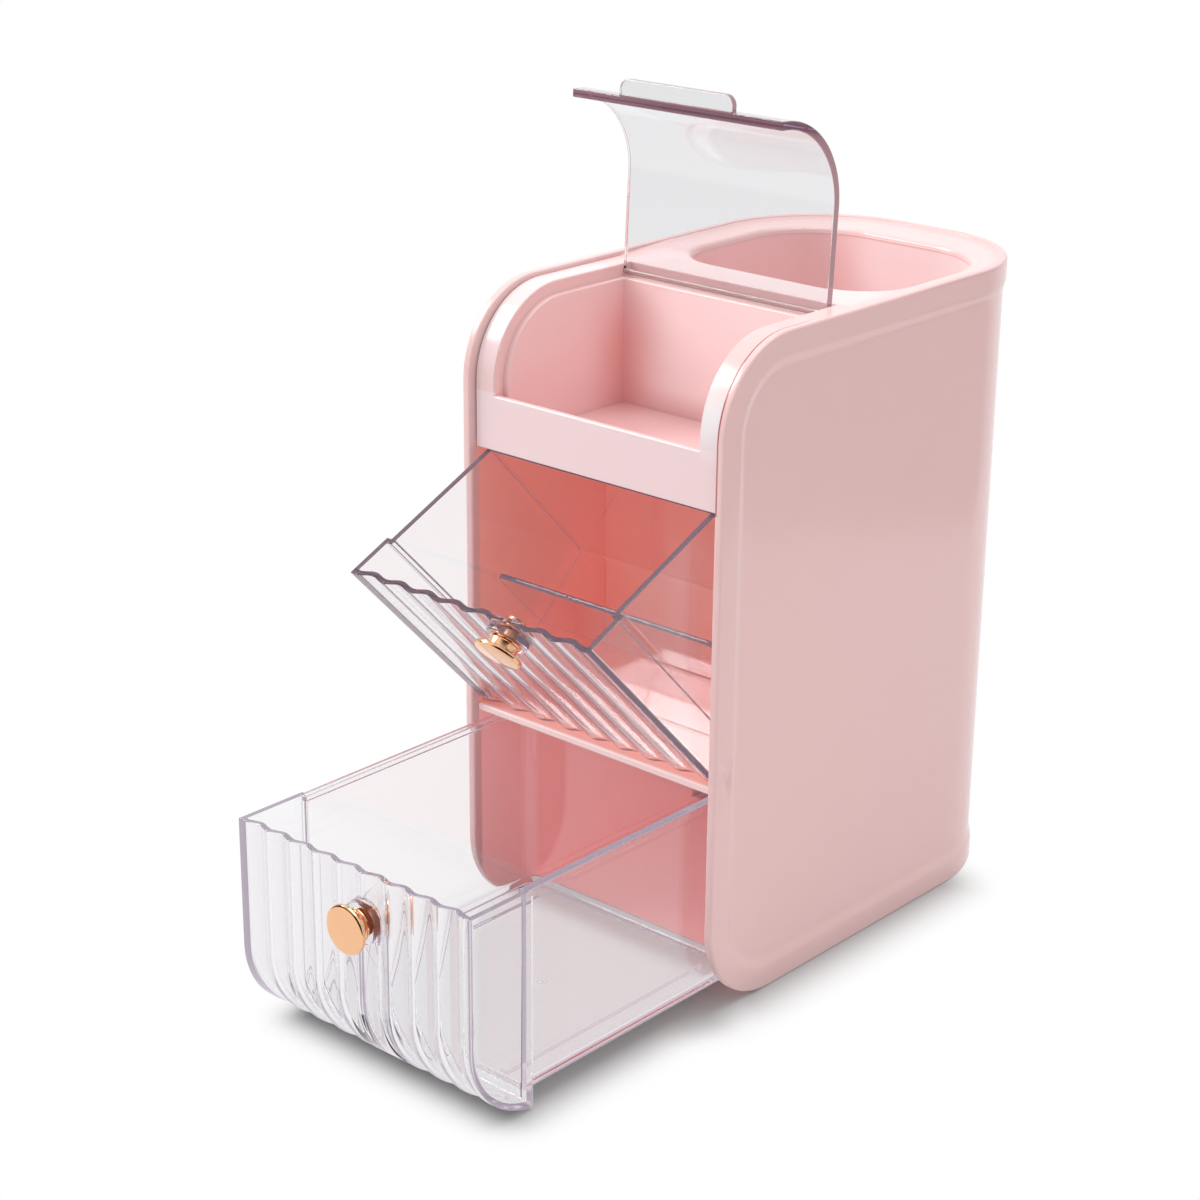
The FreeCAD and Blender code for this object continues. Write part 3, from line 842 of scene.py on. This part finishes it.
def gate_mark():
    """Low dome on the floor, sunk a little into it."""
    rings = []
    for wide, rise in [(1, -1)] + arc(0, 90, gate_rows)[:-1]:
        z = gate_place.z + gate_height * rise
        outline = around(gate_place.xy, gate_radius * wide, circle(gate_steps))
        rings.append([Vector((x, y, z)) for x, y in outline])
    return loft(rings)


def floor_rib(low_x, high_x):
    """Low flat rib along the drawer's floor, with steep sides."""
    far = drawer_back - rib_inset
    levels = ((0, box_floor - rib_height), (0, box_floor), (rib_slope, box_floor + rib_height))
    return loft([rectangle(low_x + inset, high_x - inset, drawer_flange + inset, far - inset, z)
                 for inset, z in levels])


# %% Drawer: mesh


def rim_lip(side):
    """Thicker rim along one long side."""
    low_x = side * (box_half + lip_width)
    high_x = side * (box_half - clear_wall / 2)
    far = drawer_back - box_radius
    return loft([rectangle(low_x, high_x, drawer_flange - clear_wall, far, z)
                 for z in (drawer_top - lip_height, drawer_top)])


def drawer_mesh():
    step_y = drawer_flange - clear_wall
    near = step_y - clear_wall
    roof = drawer_top + spare
    front = fluted_block(drawer_half, drawer_flutes, 0, drawer_section(drawer_flange, drawer_top, 0))
    tub = tub_mesh(box_half, near, box_bottom, drawer_top, box_radius, floor_round)
    strip = across(drawer_section(step_y, drawer_knob_z, 0)(0), drawer_knob_x - boss_radius,
                   drawer_knob_x + boss_radius)
    outside = combine(front, [tub, strip, rim_lip(-1), rim_lip(1)], "UNION")
    room = fluted_block(drawer_half, drawer_flutes, clear_wall, drawer_section(step_y, roof, clear_wall))
    tub_room = tub_mesh(box_half - clear_wall, near, box_floor, roof, box_radius - clear_wall,
                        inner_floor_round)
    hollow = combine(outside, [room, tub_room], "DIFFERENCE")
    rib_edge = box_half - rib_inset
    rib_inner = rib_edge - rib_width
    ribs = [floor_rib(-rib_edge, -rib_inner), floor_rib(rib_inner, rib_edge)]
    return combine(hollow, [knob_boss(drawer_seat), gate_mark()] + ribs, "UNION")


clear_piece("drawer", drawer_mesh(), "drawer_box")

# %% [markdown]
# ## Tilt-out bin
#
# The bin is modelled upright, where its shapes are simple, and then turned about its pivot pins to the angle
# at which it stands open.

# %% Bin: sizes
bin_open = math.radians(-bin_joint["range_deg"][0])
bin_half = drawer_half
bin_flutes = 8
bin_round = 3.6 * mm
bin_face = bin_pivot.y - bin_round
bin_bottom = bin_pivot.z - bin_round
bin_top = 169.7 * mm
bin_back = bin_pivot.y + 60.6 * mm
bin_back_top = 147.7 * mm
bin_flange = bin_face + 17 * mm
bin_seat = Vector((11.5 * mm, bin_face - boss_proud, bin_top - 10.5 * mm))
bin_rear_round = 3 * mm
bin_round_steps = 6


def bin_section(back, skin, roof):
    """Side view of the bin's front block, skin deep inside its outer face."""
    def section(dip):
        radius = bin_round - skin
        points = [(back, roof), (bin_face + dip + skin, roof)]
        for cos, sin in arc(0, 90, bin_round_steps):
            points.append((bin_pivot.y - (radius - dip * cos) * cos, bin_pivot.z - radius * sin))
        points.append((back, bin_bottom + skin))
        return points
    return section


def bin_profile(near, skin, roof):
    """Side view of the box behind the flange, with a rounded lower rear corner."""
    far = bin_back - skin
    low = bin_bottom + skin
    radius = bin_rear_round - skin
    corner = around((far - radius, low + radius), radius, arc(-90, 0, bin_round_steps))
    return [(near, roof), (near, low)] + corner + [(far, roof)]


def slope_cutter():
    """Everything above the bin's sloping top edge, which is level over the back wall."""
    wall_y = bin_back - clear_wall
    rise = (bin_back_top - bin_top) / (wall_y - bin_face)
    near = bin_face - spare
    far = bin_back + spare
    high = bin_top + 4 * spare
    points = [(near, bin_top - rise * spare), (wall_y, bin_back_top), (far, bin_back_top), (far, high),
              (near, high)]
    return across(points, -bin_half - spare, bin_half + spare)


# %% Bin: mesh


def bin_mesh():
    roof = bin_top + spare
    step_y = bin_flange - clear_wall
    near = step_y - clear_wall
    room_half = box_half - clear_wall
    front = fluted_block(bin_half, bin_flutes, 0, bin_section(bin_flange, 0, roof))
    tub = across(bin_profile(near, 0, roof), -box_half, box_half)
    outside = combine(combine(front, [tub], "UNION"), [slope_cutter()], "DIFFERENCE")
    room = fluted_block(bin_half, bin_flutes, clear_wall, bin_section(step_y, clear_wall, roof + spare))
    tub_room = across(bin_profile(near, clear_wall, roof + spare), -room_half, room_half)
    hollow = combine(outside, [room, tub_room], "DIFFERENCE")
    return combine(hollow, [knob_boss(bin_seat)], "UNION")


clear_piece("tilt_bin", turned(bin_mesh(), bin_pivot, bin_open), "bin_box")

# %% [markdown]
# ## Lid
#
# The lid is one bent sheet of clear plastic with a round barrel along its rear edge and a finger tab on its
# free edge. It is drawn closed, over the tray, and then swung up about its hinge.

# %% Lid
lid_joint = joint_named("lid_hinge")
lid_hinge = Vector(lid_joint["pos_m"])
lid_open = math.radians(-lid_joint["range_deg"][0])
lid_half = 42.7 * mm
lid_thickness = 2.8 * mm
lid_radius = 28.9 * mm
lid_top = lid_hinge.z + lid_thickness / 2
lid_near = -86.3 * mm
lid_end = 190.8 * mm
lid_steps = 24
barrel_radius = 1.6 * mm
barrel_steps = 32
tab_half = 23 * mm
tab_length = 5.5 * mm
tab_thickness = 2.2 * mm
tab_radius = 3.5 * mm


def lid_profile():
    """Side view of the closed lid: outer face from the front edge to the hinge, then the inner face back."""
    centre = (lid_near + lid_radius, lid_top - lid_radius)
    bend = arc(180, 90, lid_steps)
    points = [(lid_near, lid_end)] + around(centre, lid_radius, bend)
    points += [(lid_hinge.y, lid_top), (lid_hinge.y, lid_top - lid_thickness)]
    points += around(centre, lid_radius - lid_thickness, reversed(bend))
    return points + [(lid_near + lid_thickness, lid_end)]


def lid_mesh():
    sheet = across(lid_profile(), -lid_half, lid_half)
    ring = around(lid_hinge.yz, barrel_radius, circle(barrel_steps))
    barrel = across(ring, -lid_half, lid_half)
    root = lid_near + lid_thickness / 2
    tab = loft([rounded_plan(tab_half, root, lid_near - tab_length, tab_radius, z)
                for z in (lid_end, lid_end + tab_thickness)])
    return combine(sheet, [barrel, tab], "UNION")


lid = clear_piece("lid", turned(lid_mesh(), lid_hinge, -lid_open), "lid")
lid.data.materials[0] = clear_lid

# %% [markdown]
# ## Knobs
#
# Each knob is turned on a lathe: a straight neck on the clear seat and a thin disc with a rounded rim. A
# turned shape is one profile carried round an axis, so a few points and a short loop make it. The points on
# the axis itself fall together and are merged.

# %% Knobs
knob_turns = 64
knob_sharp = 30
knob_profile = [
    (0.0, 0.0), (5.1, 0.0), (5.35, 0.15), (5.4, 0.4), (5.3, 0.68), (5.05, 0.8), (4.92, 0.95), (4.9, 1.2),
    (4.9, 2.9), (4.98, 3.3), (5.25, 3.6), (5.8, 3.72), (7.3, 3.76), (7.75, 3.9), (8.02, 4.2), (8.1, 4.6),
    (8.1, 4.85), (8.0, 5.25), (7.75, 5.5), (7.4, 5.599), (0.0, 5.599)]


def turned_knob(seat):
    """Lathe-turned knob on a seat that faces -Y."""
    bm = bmesh.new()
    rings = []
    for radius, out in knob_profile:
        outline = around(seat.xz, radius * mm, circle(knob_turns))
        rings.append([bm.verts.new((x, seat.y - out * mm, z)) for x, z in outline])
    skin_faces(bm, rings)
    mesh = mesh_from(bm)
    shade_smooth(mesh, knob_sharp)
    return mesh


place_piece("drawer_knob", turned_knob(drawer_seat), "drawer_knob")
place_piece("bin_knob", turned(turned_knob(bin_seat), bin_pivot, bin_open), "bin_knob")

# %% [markdown]
# ## Tray and cup
#
# A moulding has no knife edges. The tray already has the right shape, so it is copied, its flat triangles
# are merged, and its outer edges are rounded. Where the cup's opening meets the deck, the real edge is much
# rounder, so that loop is rounded first. A hollow curve then leads the deck up to the shell's rim.

# %% Tray and cup: copies
deck_top = 223.6 * mm
cup_low, cup_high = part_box("pen_cup")
same_level = 0.05 * mm
flat_angle = math.radians(0.6)
lip_angle = math.radians(60)
lip_round = 2.2 * mm
lip_segments = 6
lip_overlap = 0.8 * mm
cup_ease = 0.06 * mm
cup_round = 0.3 * mm
joint_gap = 0.40 * mm
joint_end = -45 * mm
tray_round = 0.6 * mm
tray_segments = 3


def clean_copy(node):
    """Copy of a solid's mesh with its flat triangles merged into whole faces."""
    bm = bmesh.new()
    bm.from_mesh(frame["nodes"][node].data)
    bmesh.ops.remove_doubles(bm, verts=bm.verts[:], dist=wide_weld)
    bmesh.ops.dissolve_limit(bm, angle_limit=flat_angle, verts=bm.verts[:], edges=bm.edges[:])
    return bm


def finished_copy(bm):
    mesh = bpy.data.meshes.new("moulding")
    bm.to_mesh(mesh)
    bm.free()
    for layer in ("custom_normal", "UVMap"):
        found = mesh.attributes.get(layer)
        if found:
            mesh.attributes.remove(found)
    shade_smooth(mesh, soft_angle)
    return mesh


def round_edges(bm, edges, width, segments):
    bmesh.ops.bevel(bm, geom=edges, offset=width, segments=segments, profile=0.5, affect="EDGES",
                    clamp_overlap=False)
    print("edges rounded", len(edges))


def over_cup(vert):
    return cup_low.x < vert.co.x < cup_high.x and cup_low.y < vert.co.y < cup_high.y


def cup_lip_edges(bm):
    """Edges where the deck turns down into the cup's opening."""
    return [edge for edge in bm.edges if edge.calc_face_angle(0) > lip_angle
            and all(abs(vert.co.z - deck_top) < same_level and over_cup(vert) for vert in edge.verts)]


def fit_tray(bm):
    """Draws the tray's sides in, for a fine joint line, and its lip down behind the cup's wall."""
    side = shell_inner_half - joint_gap
    for vert in bm.verts:
        if vert.co.y < joint_end and abs(vert.co.x) > side:
            vert.co.x = math.copysign(side, vert.co.x)
        if over_cup(vert) and abs(vert.co.z - cup_high.z) < same_level:
            vert.co.z -= lip_overlap


def cup_mesh():
    """Cup drawn up a little behind the opening's lip, so that no groove shows where they meet."""
    bm = clean_copy("pen_cup")
    centre = (cup_low + cup_high) / 2
    for vert in bm.verts:
        if vert.co.z > cup_high.z - lip_overlap:
            vert.co.z += lip_overlap
        out = vert.co - Vector((centre.x, centre.y, vert.co.z))
        vert.co -= out.normalized() * cup_ease
    return finished_copy(bm)


# %% Tray: cove and mesh
cove_rise = 1 * mm
cove_sink = 0.02 * mm
cove_overlap = 0.1 * mm
cove_start = (-16 * mm, 8 * mm)
cove_narrow = 4.2 * mm
cove_wide = 8 * mm
cove_steps = 6
cove_side_steps = 12


def cove_stations():
    """Places along the shell's inner face, from left to right: (point, inward, share of the width)."""
    inner_radius = shell_rear_radius - shell_wall
    right = []
    for step in range(cove_side_steps):
        y = cove_start[0] + (bend_y - cove_start[0]) * step / cove_side_steps
        right.append((Vector((shell_inner_half, y, 0)), Vector((-1, 0, 0)), 0))
    for step, (cos, sin) in enumerate(arc(0, 90, rear_steps)):
        out = Vector((cos, sin, 0))
        point = Vector((shell_rear_flat / 2, bend_y, 0)) + out * inner_radius
        right.append((point, -out, step / rear_steps))
    left = [(Vector((-p.x, p.y, 0)), Vector((-n.x, n.y, 0)), 1) for p, n, share in right]
    return left + right[::-1]


def add_cove(bm):
    """Hollow curve that leads the deck up to the shell's rim."""
    shares = [step / cove_steps for step in range(cove_steps + 1)]
    rings = []
    for point, inward, share in cove_stations():
        width = cove_narrow + (cove_wide - cove_narrow) * share
        fade = min(1, max(0, (point.y - cove_start[0]) / (cove_start[1] - cove_start[0])))
        outline = [(part, deck_top - cove_sink + cove_rise * fade * (1 - part) ** 2) for part in shares]
        outline += [(part, deck_top - cove_rise) for part in (1, 0)]
        rings.append([bm.verts.new(point + inward * (width * part - cove_overlap) + Vector((0, 0, z)))
                      for part, z in outline])
    faces = [bm.faces.new(rings[0]), bm.faces.new(rings[-1])] + skin_faces(bm, rings)
    bmesh.ops.recalc_face_normals(bm, faces=faces)


def tray_mesh():
    """Rounds the edges that stand out and leaves the inside corners sharp, as a mould makes them."""
    bm = clean_copy("top_tray")
    fit_tray(bm)
    round_edges(bm, cup_lip_edges(bm), lip_round, lip_segments)
    bmesh.ops.recalc_face_normals(bm, faces=bm.faces[:])
    outer = [edge for edge in bm.edges
             if edge.is_manifold and edge.calc_face_angle_signed(0) > math.radians(soft_angle)]
    round_edges(bm, outer, tray_round, tray_segments)
    add_cove(bm)
    return finished_copy(bm)


flat_faces(place_piece("tray", tray_mesh(), "top_tray"))
soften(place_piece("pen_cup_moulding", cup_mesh(), "pen_cup"), cup_round)

# %% [markdown]
# ## Pieces with softened edges
#
# The shelf, panel, base, pads and divider are plain shapes. They could be modelled again, but a copy of the
# solid with a narrow bevel along its edges gives the same piece. The divider's polished edge is rounder.

# %% Softened copies
softened = [("mid_shelf", 0.6, 2), ("bay_back_panel", 0.4, 2), ("base_plate", 0.5, 2), ("foot_pads", 0.6, 2),
            ("bin_divider", 0.7, 4)]
for node, width, segments in softened:
    piece = place_piece(node + "_moulding", finished_copy(clean_copy(node)), node)
    soften(piece, width * mm, segments)

# %% [markdown]
# ## Hardware
#
# The rod, pins, screws and washers keep their solids. The rod and pins are steel; the rod is given a pinker,
# darker copy of steel, which paints the shade and the pink reflections in the hinge. The knobs' screws and
# washers are plated like the knobs, but given a darker copy of the plating, painted shade, and show through
# the clear fronts.

# %% Hardware
hardware = {"lid_hinge_rod": shaded_pink_steel, "bin_pivot_pin_left": steel, "bin_pivot_pin_right": steel,
            "base_screws": steel, "bin_knob_screw": shaded_rose_gold, "bin_knob_washer": shaded_rose_gold,
            "drawer_knob_screw": shaded_rose_gold, "drawer_knob_washer": shaded_rose_gold}
for node, finish in hardware.items():
    solid = frame["nodes"][node]
    solid.data.materials.clear()
    solid.data.materials.append(finish)
print("hardware", len(hardware))

# %% [markdown]
# ## Floor
#
# The photograph is a high-key product picture: white all round, with one soft shadow. A shadow catcher would
# need compositing. Here the floor is lit near the unit, where its shadow falls, and plain white further out.
# Near the unit the floor's own colour is darkened as well, a painted shadow along the contact. Clear plastic
# and metal show it bright too, but darker far to the right, and darker under the shell as painted shade.

# %% Floor
floor_half = 454 * mm
floor_behind = 2.6
floor_before = 0.33
floor_tone = 0.76
painted_shadow_tone = 0.48
shadow_spots = [
    (Vector((0, -24, 0)) * mm, Vector((50.5, 64, 0)) * mm, 27 * mm),
    (Vector((2, -134, 0)) * mm, Vector((43, 40, 0)) * mm, 24 * mm)]
far_right = (0.15, 0.34)
reflected_near = 0.8
reflected_far = 0.3
under_shell = (-76 * mm, -62 * mm)
shaded_under = 0.5


def spot_distance(spot, middle, half, reach):
    """0 over a rectangle on the floor, rising to 1 at a distance from it."""
    from_middle = vector("ABSOLUTE", vector("SUBTRACT", spot, middle))
    outside = vector("MAXIMUM", vector("SUBTRACT", from_middle, half), Vector())
    return soft_step(vector("LENGTH", outside), 0, reach)


def floor_material():
    material, shader = new_material("pale_floor")
    tree = material.node_tree
    set_inputs(shader, Roughness=0.9, Specular_IOR_Level=0.0)
    path = add_node(tree, "LightPath").outputs
    spot = add_node(tree, "NewGeometry").outputs["Position"]
    x, y = axes_of(spot)[:2]
    plain = times(*[spot_distance(spot, *place) for place in shadow_spots])
    # Painted shadow: the floor's colour darkens towards the unit, inside and near the shadow spots.
    painted_shadow = number("MULTIPLY_ADD", plain, floor_tone - painted_shadow_tone, painted_shadow_tone)
    join(painted_shadow, shader.inputs["Base Color"])
    through = largest(path["Is Transmission Ray"], path["Is Glossy Ray"])
    bright = soft_step(x, *far_right, reflected_near, reflected_far)
    # Painted shade: seen through clear plastic and in metal, the floor is darker under the shell.
    inside = largest(soft_step(y, *under_shell, 1.0, shaded_under), plain)
    seen = times(plain, path["Is Camera Ray"])
    part = largest(seen, times(through, bright, inside))
    glow = add_node(tree, "Emission", Strength=1.0)
    mixed = mixed_shader(part, shader, glow)
    join(mixed.outputs[0], tree.nodes["Material Output"].inputs["Surface"])
    return material


floor_mesh = bpy.data.meshes.new("floor")
floor_corners = rectangle(-floor_half, floor_half, -floor_before, floor_behind, 0)
floor_mesh.from_pydata(floor_corners, [], [(0, 1, 2, 3)])
floor_mesh.materials.append(floor_material())
floor = new_object("floor", floor_mesh)
floor.rotation_euler.z = camera_azimuth
print("floor", floor.name)

# %% [markdown]
# ## Lights and surroundings
#
# Soft light comes from the upper left and from above. An evenly white world would flatten the gloss, so
# reflections see a room that is bright behind, above and below the unit and dark at the sides. The camera
# and the clear plastic see plain white. The lamps stay at a plain level, so the pink keeps its own colour.

# %% World and lamps
white = (1, 1, 1, 1)
world_strength = 0.76
room_behind = (0.25, 0.75)
room_dark = 0.08
ceiling_heights = (0.30, 0.62)
ground_heights = (-0.08, -0.28)
ground_right = (0.35, 0.80)
ground_dimmed = 0.3
round_camera = (0.95, 0.60)
led_far = 1.5


def white_world():
    """White for the camera and through clear plastic, with a darker room at the sides for reflections."""
    world = bpy.data.worlds.new("white_surroundings")
    bpy.context.scene.world = world
    world.use_nodes = True
    tree = world.node_tree
    light = tree.nodes["Background"]
    set_inputs(light, Color=white, Strength=world_strength)
    direction = add_node(tree, "TexCoord").outputs["Generated"]
    height = axes_of(direction)[2]
    cos = math.cos(camera_azimuth)
    sin = math.sin(camera_azimuth)
    behind = vector("DOT_PRODUCT", direction, (-sin, cos, 0))
    sideways = vector("DOT_PRODUCT", direction, (cos, sin, 0))
    toward = vector("DOT_PRODUCT", direction, camera.matrix_world.col[2].to_3d())
    room = soft_step(behind, *room_behind, room_dark, 1.0)
    ceiling = soft_step(height, *ceiling_heights)
    dimmer = soft_step(sideways, *ground_right, 1.0, ground_dimmed)
    ground = times(soft_step(height, *ground_heights), dimmer)
    room_light = times(largest(room, ceiling, ground), soft_step(toward, *round_camera))
    reflected = add_node(tree, "Background", Color=white)
    join(room_light, reflected.inputs["Strength"])
    plain_white = add_node(tree, "Background", Color=white, Strength=1.0)
    path = add_node(tree, "LightPath").outputs
    far = number("GREATER_THAN", path["Glossy Depth"], led_far)
    seen = largest(far, path["Is Camera Ray"], path["Is Transmission Ray"])
    lit = mixed_shader(path["Is Glossy Ray"], light, reflected)
    mixed = mixed_shader(seen, lit, plain_white)
    join(mixed.outputs[0], tree.nodes["World Output"].inputs["Surface"])


def soft_lamp(name, place, size, power):
    """Square lamp that faces the unit's middle."""
    data = bpy.data.lights.new(name, "AREA")
    data.size = size
    data.energy = power
    lamp = new_object(name, data)
    lamp.location = place
    lamp.rotation_euler = (unit_middle - Vector(place)).to_track_quat("-Z", "Y").to_euler()


white_world()
unit_middle = Vector((0, 0, 0.11))
soft_lamp("key", place=(-1.3, -0.7, 1.3), size=0.9, power=18.0)
soft_lamp("top", place=(0.0, 0.2, 1.6), size=1.2, power=10.0)
bpy.context.scene.view_settings.view_transform = "Standard"
